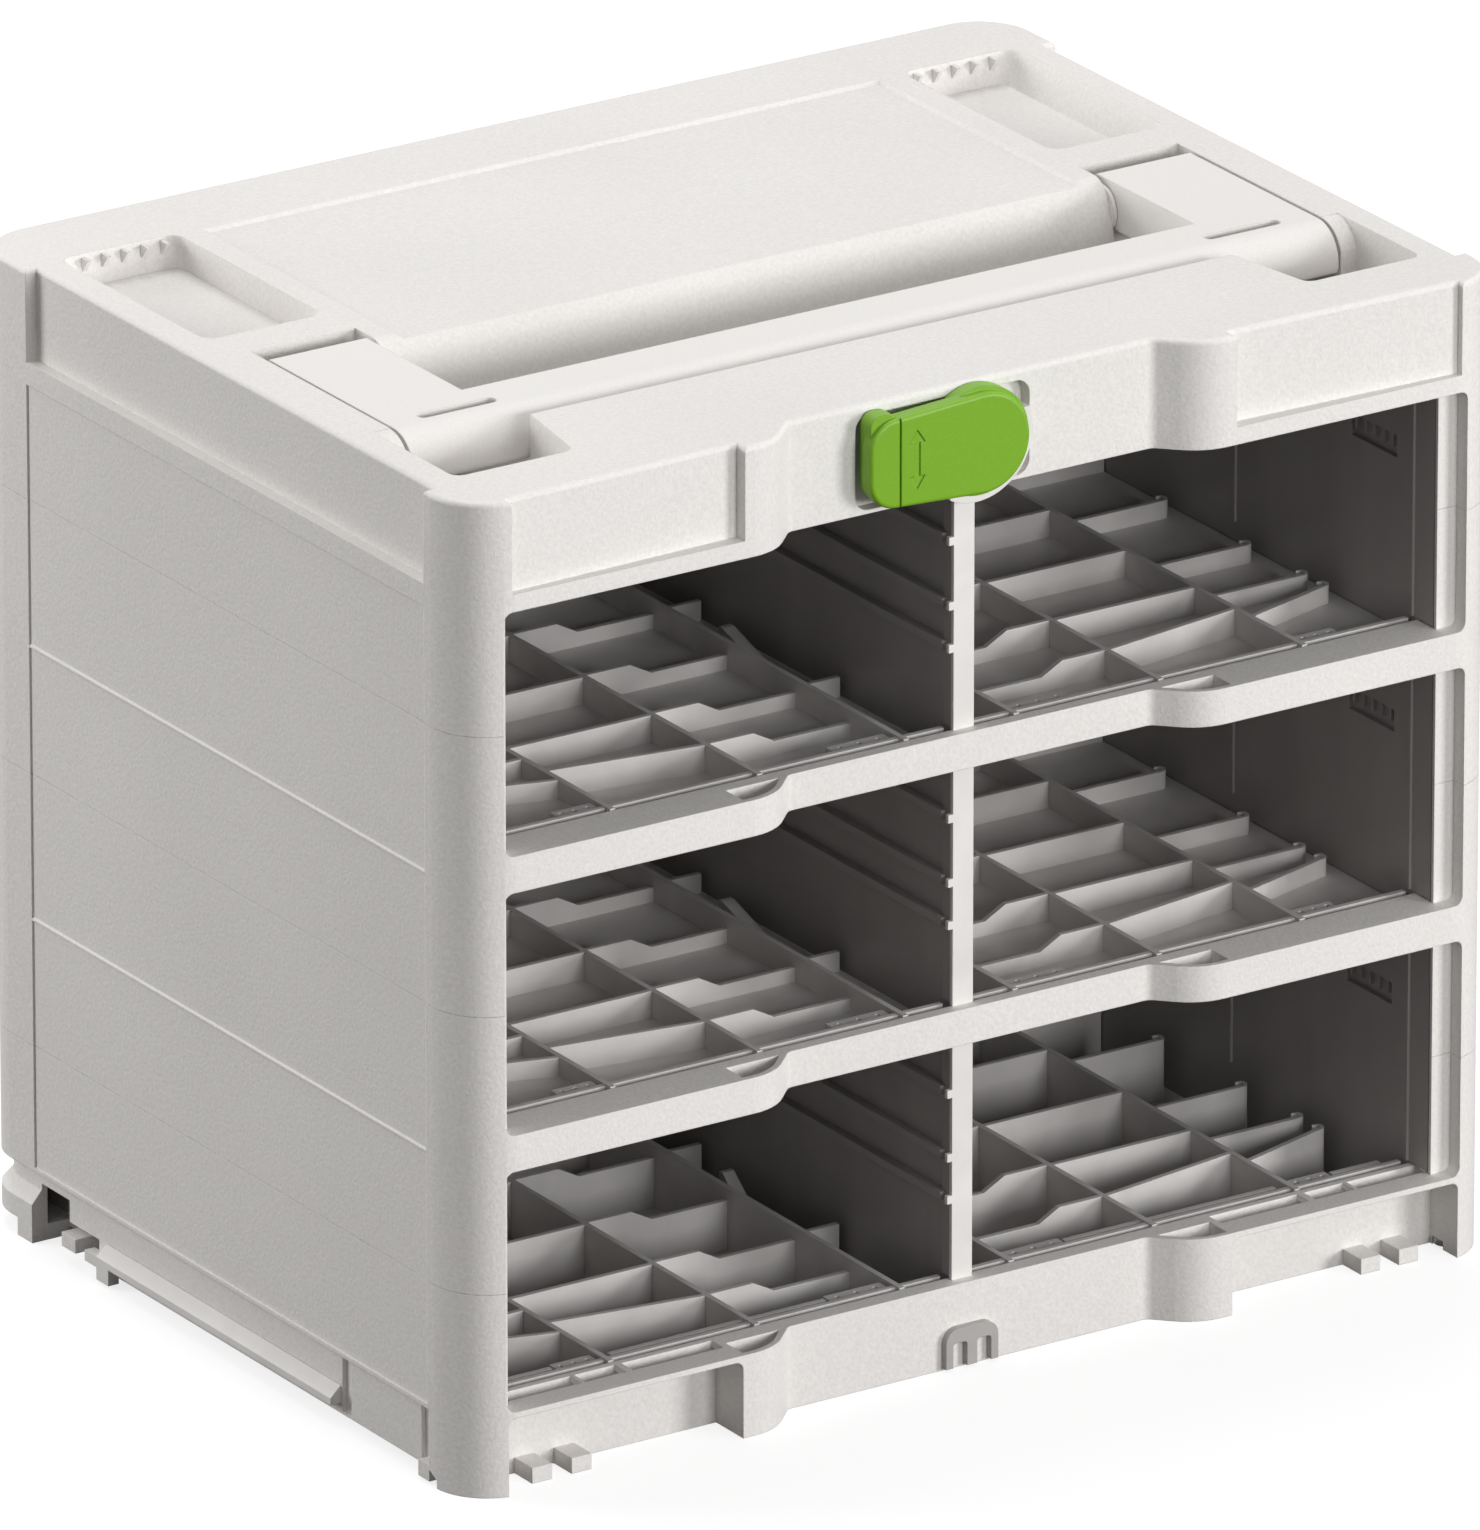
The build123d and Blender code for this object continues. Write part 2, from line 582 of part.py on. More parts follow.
GRIP_X = -32.4
GROOVE_W = 0.7
GROOVE_DEEP = 0.8
LATCH_WALL_BACK = Y_MID + 8.0
ARROW_X = -26.0
ARROW_HALF = 10.0
ARROW_HEAD = 4.4
ARROW_HEAD_W = 3.0
ARROW_SHAFT_W = 1.1
MARK_DEPTH = 0.4


def latch_shape():
    """Front view of the latch: the hull of a round rotor and two rounded corners at the left."""
    x = LATCH_TIP_R - LATCH_TIP_X
    z = LATCH_TIP_HALF - LATCH_TIP_R
    circles = [Circle(LATCH_R), Pos(x, z) * Circle(LATCH_TIP_R), Pos(x, -z) * Circle(LATCH_TIP_R)]
    edges = []
    for circle in circles:
        edges += circle.edges()
    return Pos(0, LATCH_Z) * make_hull(edges)


def latch_pocket():
    """Sunk bed around the latch in the front band, and the shaft bore through its wall."""
    x0, x1 = POCKET_X
    z0, z1 = POCKET_Z
    face = Pos((x0 + x1) / 2, (z0 + z1) / 2) * RectangleRounded(x1 - x0, z1 - z0, POCKET_R)
    bore = Pos(0, Y_MID + 5, LATCH_Z) * Rot(90, 0, 0) * Cylinder(SHAFT_R, 30)
    return along_y(face, Y_MID - 1, POCKET_Y) + bore


def rounded_band():
    """Solid of the cover above the first seam of its band, with a softly rounded top edge."""
    upper = slab(PLAN - field_notches(), FIELD_Z, HEIGHT)
    rim = upper.faces().sort_by(Axis.Z)[-1].edges()
    return slab(PLAN, OPEN_TOP, FIELD_Z) + fillet(rim, EDGE_R)


def top_cover():
    """Cover with the deck, handle recess, rear pockets, label fields and latch bed."""
    z0 = SEAM_Z[2]
    body = side_walls(z0, OPEN_TOP) - cell_cut(2)
    ceiling_seat = room(X_INNER, CEILING_Y0, Y_INNER_BACK)
    body += rounded_band() - slab(ceiling_seat, OPEN_TOP - 1, OPEN_TOP + CEILING_T)
    body += side_ribs(z0, OPEN_TOP)
    body -= cover_voids()
    body -= handle_recess()
    body += middle_block() + handle_stops()
    body -= block_panel()
    body -= rear_pockets()
    body -= outside_panels(z0 - 1, HEIGHT - PANEL_TOP_DROP)
    body -= latch_pocket()
    pin_end = PIN_OUT_X + 2
    pin_bore = Cylinder(PIN_R + 0.02, pin_end - PIN_IN_X)
    body -= both(Pos((PIN_IN_X + pin_end) / 2, PIVOT_Y, PIVOT_Z) * Rot(0, 90, 0) * pin_bore)
    body -= tongue(z0, TONGUE_FIT)
    body -= rod_bores(z0 - 1, OPEN_TOP)
    return body - rod_bores(OPEN_TOP - 1, ROD_TOP, ROD_R + 0.02)


def carry_handle():
    """Folding handle: two arms and a rounded grip, with a slot at each end of the grip."""
    z0 = HANDLE_Z - HANDLE_T
    y0, y1 = HANDLE_FRONT_Y, HANDLE_BACK_Y
    face = polygon((y0, z0), (y1, z0), (y1, HANDLE_Z), (y0, HANDLE_Z))
    front_top = [v for v in face.vertices() if v.X < HANDLE_FRONT_Y + 1 and v.Y > z0 + 1]
    face = fillet(front_top, HANDLE_ROUND)
    front_low = [v for v in face.vertices() if v.X < HANDLE_FRONT_Y + 1 and v.Y < z0 + 1]
    face = fillet(front_low, 3.0)
    back_low = [v for v in face.vertices() if v.X > HANDLE_BACK_Y - 1 and v.Y < z0 + 1]
    face = fillet(back_low, 6.0)
    back_top = [v for v in face.vertices() if v.X > HANDLE_BACK_Y - 1 and v.Y > HANDLE_Z - 1]
    face = fillet(back_top, 1.5)
    body = along_x(face, -HANDLE_OUT_X, HANDLE_OUT_X)
    body -= block(-HANDLE_IN_X, HANDLE_IN_X, HANDLE_GRIP_Y, HANDLE_BACK_Y + 1, z0 - 1, HANDLE_Z + 1)
    x0, x1 = HANDLE_SLOT_X
    slot = Pos((x0 + x1) / 2, HANDLE_SLOT_Y, 0) * SlotOverall(x1 - x0, HANDLE_SLOT_W)
    body -= both(slab(slot, z0 - 1, HANDLE_Z + 1))
    long_edges = [e for e in body.edges().filter_by(Axis.X) if e.length > 200]
    inner_edges = [e for e in long_edges if abs(e.center().Y - HANDLE_GRIP_Y) < 0.01]
    body = fillet(inner_edges, 3.0)
    bore_l = PIN_OUT_X + 2 - HANDLE_IN_X
    bore = Rot(0, 90, 0) * Cylinder(PIN_R + 0.06, bore_l)
    return body - both(Pos(HANDLE_IN_X + bore_l / 2 - 1, PIVOT_Y, PIVOT_Z) * bore)


def handle_pin(side):
    """Steel pin from the block's ear into a handle arm."""
    x = side * (PIN_IN_X + PIN_OUT_X) / 2
    return Pos(x, PIVOT_Y, PIVOT_Z) * Rot(0, 90, 0) * Cylinder(PIN_R, PIN_OUT_X - PIN_IN_X)


def arrow_mark():
    """Plain two-way arrow, as a front-view face."""
    z_tip, z_wing = ARROW_HALF, ARROW_HALF - ARROW_HEAD
    right = [(0, z_tip), (ARROW_HEAD_W, z_wing), (ARROW_SHAFT_W, z_wing)]
    right += [(x, -z) for x, z in reversed(right)]
    left = [(-x, z) for x, z in reversed(right[1:-1])]
    return Pos(ARROW_X, LATCH_Z) * polygon(*right, *left)


def latch_lever():
    """Latch lever with its thicker end pad, rotor disc, shaft, grip groove and arrow."""
    y0 = LATCH_FRONT_Y
    body = along_y(latch_shape(), y0, y0 + LATCH_T)
    rim = [e for e in body.edges() if abs(e.center().Y - y0) < 0.01]
    body = fillet(rim, LATCH_EDGE_R)
    pad = Pos(PAD_X, LATCH_Z + PAD_RISE) * RectangleRounded(PAD_W, PAD_H, PAD_R)
    body += along_y(pad, y0 + LATCH_EDGE_R + 0.8, y0 + PAD_T)
    body += along_y(Pos(0, LATCH_Z) * Circle(ROTOR_R), ROTOR_Y, ROTOR_BACK_Y)
    shaft_end = LATCH_WALL_BACK + FIT
    shaft_l = shaft_end - ROTOR_BACK_Y + 1
    shaft = Rot(90, 0, 0) * Cylinder(SHAFT_R - SHAFT_CLEAR, shaft_l)
    body += Pos(0, shaft_end - shaft_l / 2, LATCH_Z) * shaft
    body -= Pos(0, shaft_end + 1 - SCREW_L / 2, LATCH_Z) * Rot(90, 0, 0) * Cylinder(SCREW_R, SCREW_L + 2)
    groove_z = LATCH_TIP_HALF + 1
    groove = Pos(GRIP_X, LATCH_Z) * Rectangle(GROOVE_W, 2 * groove_z)
    body -= along_y(groove, y0 - 1, y0 + GROOVE_DEEP)
    return body - along_y(arrow_mark(), y0 - 1, y0 + MARK_DEPTH)


def latch_washer():
    """Washer behind the wall that holds the shaft in."""
    y0 = LATCH_WALL_BACK + FIT
    ring = Circle(WASHER_R) - Circle(SCREW_R)
    return along_y(Pos(0, LATCH_Z) * ring, y0, y0 + WASHER_T)


def latch_screw():
    """Screw in the end of the shaft."""
    y0 = LATCH_WALL_BACK + FIT + WASHER_T
    head = along_y(Pos(0, LATCH_Z) * Circle(SCREW_HEAD_R), y0, y0 + SCREW_HEAD_H)
    return head + along_y(Pos(0, LATCH_Z) * Circle(SCREW_R - 0.02), y0 - SCREW_L + 0.1, y0 + 0.1)


def latch_seat():
    """Part ring around the rotor. It lies on the band and hangs a little below it."""
    front_y = LATCH_FRONT_Y + LATCH_T + FIT
    ring = Circle(SEAT_OUT_R) - Circle(SEAT_IN_R)
    x1, z0 = SEAT_OUT_R + 1, -SEAT_OUT_R - 1
    ring &= Pos((x1 - SEAT_LEFT_X) / 2, (SEAT_TOP + z0) / 2) * Rectangle(x1 + SEAT_LEFT_X, SEAT_TOP - z0)
    ring = Pos(0, LATCH_Z) * ring
    low, high = POCKET_Z
    bed = Pos(0, (low + high) / 2) * Rectangle(WIDTH, high - low - 0.4)
    return along_y(ring, front_y, Y_MID) + along_y(ring & bed, Y_MID - 0.1, POCKET_Y)


# Inside of the cells
def plate_top(level):
    """Top of the plate that a tray stands on."""
    return BASE_PLATE_Z + BASE_PLATE_T if level == 0 else shelf_z(level) + PLATE_T


def tray_top(level):
    return shelf_z(level) + BAR_H + TRAY_RISE


def tray_front(level):
    """Front edge of a tray: behind the bar, or behind the upright panel of the base."""
    return TRAY_GAP + (Y_BAR_BACK if level else BASE_PANEL_Y + LEDGE_PANEL_T)


def tray_floor_t(level):
    return TRAY_FLOOR_T if level else BASE_FLOOR_T


BEAD_YS = (Y_FRONT + 19.3, -27.0)
LINER_REAR_GAP = 1.8
WINDOW_Y = (Y_FRONT + 29.4, Y_FRONT + 55.4)
WINDOW_DROP = (30.5, 23.0)
WINDOW_DEPTH = 1.6
TOOTH_N = 5
TOOTH_PITCH = 5.2


def side_liner(level, side):
    """Thin inner wall of a cell, with two upright beads and a toothed catch window."""
    x = CELL_X[side]
    top = shelf_z(level + 1)
    z1 = top - SEAM_GAP
    y_low = tray_front(level) - TRAY_GAP / 2
    body = block(x, x + LINER_T, y_low, Y_INNER_BACK - LINER_REAR_GAP, plate_top(level), z1)
    body += block(x, x + LINER_T, Y_POST_BACK + 0.6, y_low + 0.1, tray_top(level), z1)
    for y in BEAD_YS:
        body += block(x - 1.0, x + 0.1, y - 0.6, y + 0.6, tray_top(level) + 0.5, z1)
    z_low, z_high = top - WINDOW_DROP[0], top - WINDOW_DROP[1]
    window = block(x - 1, x + WINDOW_DEPTH, *WINDOW_Y, z_low, z_high)
    for i in range(TOOTH_N):
        y = WINDOW_Y[0] + TOOTH_PITCH * (i + 0.5)
        window -= block(x - 1, x + 2, y - 0.5, y + 0.5, z_low + 3, z_high + 1)
    body -= window
    return body if side > 0 else mirror(body, about=Plane.YZ)


def mullion(level):
    """Light cap at the front of the middle wall, with three short lugs on its left."""
    y0 = Y_MID + MULLION_SETBACK
    y1 = y0 + MULLION_T
    top = shelf_z(level + 1)
    body = block(-MULLION_HALF, MULLION_HALF, y0, y1, shelf_z(level) + BAR_H, top - SEAM_GAP)
    for drop in RIDGE_DROPS:
        z = top - drop
        lug = Pos(-MULLION_HALF - RIDGE_OUT / 2 + 0.05, z) * Rectangle(RIDGE_OUT + 0.1, RIDGE_H)
        body += along_y(lug, y0, y1)
    return body


def partition_panel(level):
    """Middle wall between two cells: thicker behind the cap, with guide ridges along each face."""
    y0 = Y_MID + MULLION_SETBACK + MULLION_T
    top = shelf_z(level + 1)
    z1 = top - SEAM_GAP
    y_low = max(tray_front(level) - TRAY_GAP / 2, y0)
    body = block(-PANEL_HALF, PANEL_HALF, y_low, Y_INNER_BACK - 0.2, plate_top(level), z1)
    body += block(-PANEL_NOSE_HALF, PANEL_NOSE_HALF, y0, y0 + PANEL_NOSE_T, tray_top(level) + 0.2, z1)
    body += block(-PANEL_HALF, PANEL_HALF, y0 + 0.1, y_low + 1, tray_top(level) + 0.2, z1)
    x1 = MULLION_HALF + RIDGE_OUT - 0.3
    for drop in RIDGE_DROPS:
        z = top - drop
        face = Pos((PANEL_HALF + x1) / 2 - 0.05, z) * Rectangle(x1 - PANEL_HALF + 0.1, RIDGE_H)
        body += both(along_y(face, y0 + RIDGE_SETBACK, Y_INNER_BACK - 4))
    return body


TRAY_X0 = 5.0
TRAY_Y1 = Y_INNER_BACK - TRAY_REAR_GAP
FRONT_RIB_BACK = {0: 3.2, 1: 3.6, 2: 3.6}
BASE_RIB_Y = Y_FRONT + 26.4
STEP_RUN = (17.5, 25.5)
INNER_ROWS = (-99.0, -67.0, -27.0, 16.5, 56.0, 96.0)
MIDDLE_ROWS = (-68.0, -28.0, 16.0, 56.0, 96.0)
OUTER_ROWS = (-78.0, -45.5, 3.0)
WALL_ROWS = (50.0, 95.0)
SLANT_MIDDLE = (-99.5, -91.0)
SLANT_OUTER = (-100.0, -90.0)
CURL_X = X_HALF - 28.2
CHANNEL_ROWS = (-67.0, 14.5, 70.0)
WEDGE_YS = (-36.0, -12.0, -10.0)
WEDGE_X = (9.0, 13.5)


def cross_rib(x0, x1, y, z0, z1):
    return block(x0, x1, y - RIB_T / 2, y + RIB_T / 2, z0, z1)


def slant_rib(x0, x1, y0, y1, z0, z1):
    """Rib that crosses its bay at a slant."""
    h = RIB_T / 2
    return slab(polygon((x0, y0 - h), (x1, y1 - h), (x1, y1 + h), (x0, y0 + h)), z0, z1)


def stepped_rib(x_high, x_low, y, z0, z1):
    """Rib that is full height beside one wall and steps down towards the other."""
    d = 1 if x_low > x_high else -1
    xa, xb = x_high + d * STEP_RUN[0], x_high + d * STEP_RUN[1]
    z_step = z1 - TRAY_STEP
    points = [(x_high, z0), (x_high, z1), (xa, z1), (xb, z_step), (x_low, z_step), (x_low, z0)]
    return along_y(polygon(*points), y - RIB_T / 2, y + RIB_T / 2)


def curl(y, z0, z1):
    """Rolled end of a rib, bent back towards the rear."""
    centre = Pos(CURL_X - CURL_R, y + CURL_R - RIB_T / 2)
    ring = centre * Circle(CURL_R) - centre * Circle(CURL_R - RIB_T * 0.7)
    ring &= Pos(CURL_X, y) * Rectangle(2 * CURL_R, 2 * CURL_R + RIB_T)
    return slab(ring, z0, z1)


def shelf_tray(level, side):
    """Ribbed tray that a row of cases stands on."""
    z0, z1 = plate_top(level), tray_top(level)
    floor_t = tray_floor_t(level)
    zf = z0 + floor_t - 0.1
    xa, xb, xc = TRAY_RIB_X
    x_out = CELL_X[side] - 0.4
    y_front = tray_front(level)
    y_rib = y_front + FRONT_RIB_BACK[level]
    body = block(TRAY_X0, x_out, y_front, TRAY_Y1, z0, z0 + floor_t)
    if level:
        body += block(xc, x_out, y_front, TRAY_Y1, z0, z0 + floor_t + OUTER_FLOOR_LIFT)
    for x in TRAY_RIB_X:
        body += block(x - RIB_T / 2, x + RIB_T / 2, y_front, TRAY_Y1, zf, z1)
    body += cross_rib(TRAY_X0, x_out - 1, y_rib, zf, z1 - 0.4)
    body += cross_rib(TRAY_X0, x_out, TRAY_Y1 - RIB_T / 2, zf, z1)
    for y in INNER_ROWS:
        body += stepped_rib(xb, xa, y, zf, z1)
    for y in MIDDLE_ROWS:
        body += cross_rib(xb, xc, y, zf, z1)
    body += slant_rib(xb, xc, *SLANT_MIDDLE, zf, z1)
    for y in OUTER_ROWS:
        body += cross_rib(xc, CURL_X - CURL_R, y, zf, z1) + curl(y, zf, z1)
    for y in WALL_ROWS:
        body += cross_rib(xc, x_out, y, zf, z1)
    body += slant_rib(xc, CURL_X - CURL_R, *SLANT_OUTER, zf, z1) + curl(SLANT_OUTER[1], zf, z1)
    for y in CHANNEL_ROWS:
        body += cross_rib(TRAY_X0, xa, y, zf, z1 - 2.5)
    low_y, peak_y, high_y = WEDGE_YS
    wedge = polygon((low_y, zf), (high_y, zf), (high_y, z1 - 2), (peak_y, z1 - 2))
    body += along_x(wedge, *WEDGE_X)
    if level == 0:
        for x0, x1 in ((46, xc - 4), (xc + 18, CURL_X - 1)):
            body += cross_rib(x0, x1, BASE_RIB_Y, zf, z1 - 1)
    return body if side > 0 else mirror(body, about=Plane.YZ)


CLIP_XS = ((23.2, 45.0), (TRAY_RIB_X[2] + 2.0, TRAY_RIB_X[2] + 17.0))
CLIP_DEPTH = 5.6
CLIP_DOT_R = 0.8


def tray_clips(level, side):
    """Two snap tabs behind the front rib of a tray, each with a row of small dots."""
    z1 = tray_top(level) - 1.0
    y_front = tray_front(level) + FRONT_RIB_BACK[level] + RIB_T / 2
    clips = None
    for i, (x0, x1) in enumerate(CLIP_XS):
        zf = plate_top(level) + tray_floor_t(level) + (OUTER_FLOOR_LIFT if level and i else 0)
        clip = block(x0, x1, y_front + 0.1, y_front + CLIP_DEPTH, z1 - 2.0, z1)
        clip += block(x0, x1, y_front + CLIP_DEPTH - 1.6, y_front + CLIP_DEPTH, zf, z1 - 1)
        for k in range(3):
            x = x0 + (k + 0.5) * (x1 - x0) / 3
            clip -= Pos(x, y_front + CLIP_DEPTH / 2, z1) * Cylinder(CLIP_DOT_R, 1.6)
        clips = clip if clips is None else clips + clip
    return clips if side > 0 else mirror(clips, about=Plane.YZ)


def ceiling_panel():
    """Flat inner lid over the top row of cells."""
    plan = room(X_INNER - 0.2, CEILING_Y0 + 0.2, Y_INNER_BACK - 0.2)
    body = slab(plan, OPEN_TOP, OPEN_TOP + CEILING_T - 0.2)
    return body - rod_bores(OPEN_TOP - 1, OPEN_TOP + CEILING_T + 1)


RAIL_Y = (Y_FRONT + 81.6, Y_BACK - 72.5)
RAIL_Z = (6.6, 9.0, 12.8)
RAIL_END_Y = Y_BACK - 65.4
RAIL_HOOK_Y = Y_BACK - 79.8
RAIL_HOOK_Z = 1.1


def coupling_rail(side):
    """Sloped side rail of the base that slides into a guide of a case below."""
    z_low, z_out, z_in = RAIL_Z
    y0, y1 = RAIL_Y
    body = along_y(polygon((SKIRT_X, z_in), (X_HALF, z_out), (X_HALF, z_low), (SKIRT_X, z_low)), y0, y1)
    body += block(SKIRT_X, X_HALF, y1 - 0.1, RAIL_END_Y, z_low - 1.3, z_out)
    body += block(SKIRT_X, X_HALF, RAIL_HOOK_Y, y1, RAIL_HOOK_Z, z_low + 0.1)
    return body if side > 0 else mirror(body, about=Plane.YZ)


CATCH_HALF = 10.0
CATCH_H = 14.5
CATCH_OUT = 2.6
CATCH_SLOT_X = 4.6


def bottom_catch():
    """Arched catch at the bottom of the front, with two upright slots."""
    face = Pos(0, CATCH_H / 2 + 0.5) * Rectangle(2 * CATCH_HALF, CATCH_H - 1)
    top = [v for v in face.vertices() if v.Y > CATCH_H / 2]
    face = fillet(top, 5.0)
    for s in (-1, 1):
        face -= Pos(s * CATCH_SLOT_X, 4.5) * RectangleRounded(5.4, 10.0, 1.2)
    return along_y(face, Y_MID - CATCH_OUT, Y_MID)


LEVEL_NAMES = ("bottom", "middle", "top")
SIDE_NAMES = {-1: "left", 1: "right"}

nodes = {
    "base_frame": base_module(),
    "lower_frame": module(1, SEAM_Z[0], SEAM_Z[1] - SEAM_GAP),
    "upper_frame": module(2, SEAM_Z[1], SEAM_Z[2] - SEAM_GAP),
    "top_cover": top_cover(),
    "ceiling_panel": ceiling_panel(),
    "tie_rods": tie_rods(),
    "carry_handle": carry_handle(),
    "latch_lever": latch_lever(),
    "latch_washer": latch_washer(),
    "latch_screw": latch_screw(),
    "latch_seat": latch_seat(),
    "bottom_catch": bottom_catch(),
}
for side, side_name in SIDE_NAMES.items():
    nodes["handle_pin_" + side_name] = handle_pin(side)
    nodes["coupling_rail_" + side_name] = coupling_rail(side)
for level, level_name in enumerate(LEVEL_NAMES):
    nodes["mullion_" + level_name] = mullion(level)
    nodes["partition_panel_" + level_name] = partition_panel(level)
    for side, side_name in SIDE_NAMES.items():
        place = level_name + "_" + side_name
        nodes["side_liner_" + place] = side_liner(level, side)
        nodes["shelf_tray_" + place] = shelf_tray(level, side)
        nodes["tray_clips_" + place] = tray_clips(level, side)

for name, shape in nodes.items():
    export_step(shape, f"parts/{name}.step")
    print(name, len(shape.solids()), round(shape.volume))
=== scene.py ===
import bpy
from math import cos, radians, sin
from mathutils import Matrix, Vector

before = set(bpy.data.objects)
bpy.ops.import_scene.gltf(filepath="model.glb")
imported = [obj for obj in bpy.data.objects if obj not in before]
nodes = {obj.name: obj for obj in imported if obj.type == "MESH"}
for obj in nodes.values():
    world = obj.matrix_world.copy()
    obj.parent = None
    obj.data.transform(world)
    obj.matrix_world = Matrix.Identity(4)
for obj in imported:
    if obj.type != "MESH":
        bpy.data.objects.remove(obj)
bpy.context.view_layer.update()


# Studio
# The rack stands on a plain pale floor in soft light. The long lens looks down on its front
# and its left side, and its place was worked out from the edges of the box in the photograph.

def linear(hex_colour):
    """sRGB hex colour as the linear values that a shader takes."""
    parts = [int(hex_colour[i:i + 2], 16) / 255 for i in (1, 3, 5)]
    parts = [p / 12.92 if p <= 0.04045 else ((p + 0.055) / 1.055) ** 2.4 for p in parts]
    return (*parts, 1.0)


def node(tree, kind, inputs=None, **settings):
    """Adds a shader node with its settings, and sets or links its inputs."""
    made = tree.nodes.new(kind)
    for name, value in settings.items():
        setattr(made, name, value)
    for name, value in (inputs or {}).items():
        if isinstance(value, bpy.types.NodeSocket):
            tree.links.new(value, made.inputs[name])
        else:
            made.inputs[name].default_value = value
    return made


def new_material(name):
    """Empty node material and its output node."""
    made = bpy.data.materials.new(name)
    made.use_nodes = True
    made.node_tree.nodes.clear()
    return made, made.node_tree, made.node_tree.nodes.new("ShaderNodeOutputMaterial")


scene = bpy.context.scene
CAMERA_AZIMUTH = radians(-33.09)
CAMERA_HEIGHT = radians(21.30)
CAMERA_DISTANCE = 8.418
CAMERA_LENS_MM = 634.7
CAMERA_SENSOR_MM = 36.0
CAMERA_TARGET = Vector((0.0008, -0.0005, 0.162))
camera_data = bpy.data.cameras.new("camera")
camera_data.sensor_fit = "HORIZONTAL"
camera_data.sensor_width = CAMERA_SENSOR_MM
camera_data.lens = CAMERA_LENS_MM
camera_data.clip_end = 100.0
camera = bpy.data.objects.new("camera", camera_data)
scene.collection.objects.link(camera)
towards_camera = Vector((sin(CAMERA_AZIMUTH) * cos(CAMERA_HEIGHT),
                         -cos(CAMERA_AZIMUTH) * cos(CAMERA_HEIGHT), sin(CAMERA_HEIGHT)))
camera.location = CAMERA_TARGET + CAMERA_DISTANCE * towards_camera
camera.rotation_euler = towards_camera.to_track_quat("Z", "Y").to_euler()
scene.camera = camera

scene.view_settings.view_transform = "Standard"

ROOM_STRENGTH = 0.34
WHITE_STRENGTH = 1.0
world = bpy.data.worlds.new("plain_studio")
scene.world = world
world.use_nodes = True
sky = world.node_tree
sky.nodes.clear()
ray = node(sky, "ShaderNodeLightPath")
seen = node(sky, "ShaderNodeMath",
            {0: ray.outputs["Is Camera Ray"], 1: ray.outputs["Is Glossy Ray"]},
            operation="ADD", use_clamp=True)
room_light = node(sky, "ShaderNodeBackground",
                  {"Color": linear("#FFFFFF"), "Strength": ROOM_STRENGTH})
backdrop = node(sky, "ShaderNodeBackground",
                {"Color": linear("#FFFFFF"), "Strength": WHITE_STRENGTH})
either = node(sky, "ShaderNodeMixShader",
              {0: seen.outputs[0], 1: room_light.outputs[0], 2: backdrop.outputs[0]})
node(sky, "ShaderNodeOutputWorld", {"Surface": either.outputs[0]})

FLOOR_WIDTH = 40.0
FLOOR_GLOW = 0.78
bpy.ops.object.select_all(action="DESELECT")
bpy.ops.mesh.primitive_plane_add(size=FLOOR_WIDTH, location=(0, 0, 0))
floor = bpy.context.object
floor.name = "floor"
paint, tree, out = new_material("matt_white_floor_paint")
in_view = node(tree, "ShaderNodeLightPath")
shaded = node(tree, "ShaderNodeBsdfDiffuse", {"Color": linear("#9A9A9A")})
glow = node(tree, "ShaderNodeEmission", {"Color": linear("#FFFFFF"), "Strength": FLOOR_GLOW})
as_seen = node(tree, "ShaderNodeAddShader", {0: shaded.outputs[0], 1: glow.outputs[0]})
as_bounce = node(tree, "ShaderNodeBsdfDiffuse", {"Color": linear("#605F5E")})
covered = node(tree, "ShaderNodeMixShader",
               {0: in_view.outputs["Is Camera Ray"], 1: as_bounce.outputs[0],
                2: as_seen.outputs[0]})
tree.links.new(covered.outputs[0], out.inputs["Surface"])
floor.data.materials.append(paint)


def soft_box(name, place, aim, size, watts):
    """Square area lamp at a place, turned to its aim."""
    data = bpy.data.lights.new(name, "AREA")
    data.size = size
    data.energy = watts
    lamp = bpy.data.objects.new(name, data)
    lamp.location = place
    lamp.rotation_euler = (Vector(place) - Vector(aim)).to_track_quat("Z", "Y").to_euler()
    scene.collection.objects.link(lamp)


RACK_MIDDLE = (0, 0, 0.17)
DECK_MIDDLE = (0, 0, 0.3)
soft_box("low_right", (2.5, -3.3, 0.8), RACK_MIDDLE, size=1.2, watts=90)
soft_box("low_front", (0.4, -4.0, 1.25), RACK_MIDDLE, size=1.2, watts=64)
soft_box("high_back", (0.2, 1.0, 3.3), DECK_MIDDLE, size=1.8, watts=50)
soft_box("left_back", (-1.5, 1.3, 0.75), RACK_MIDDLE, size=0.9, watts=21)


# Housing: base, two stacked frames and top cover
# Injection moulded ABS in a warm light grey. The steel mould is spark eroded, which leaves an
# even fine grain, so the faces scatter light softly and only the edges catch a thin highlight.

ERODED_GRAIN_MM = 1.3
BODY_PALE = "#E9E6E3"
BODY_DEEP = "#DAD7D4"
DEEP_CLOUD_MM = 90.0
CLOUD_SHARE = 0.35
MM_PER_M = 1000
EDGE_SAMPLES = 4


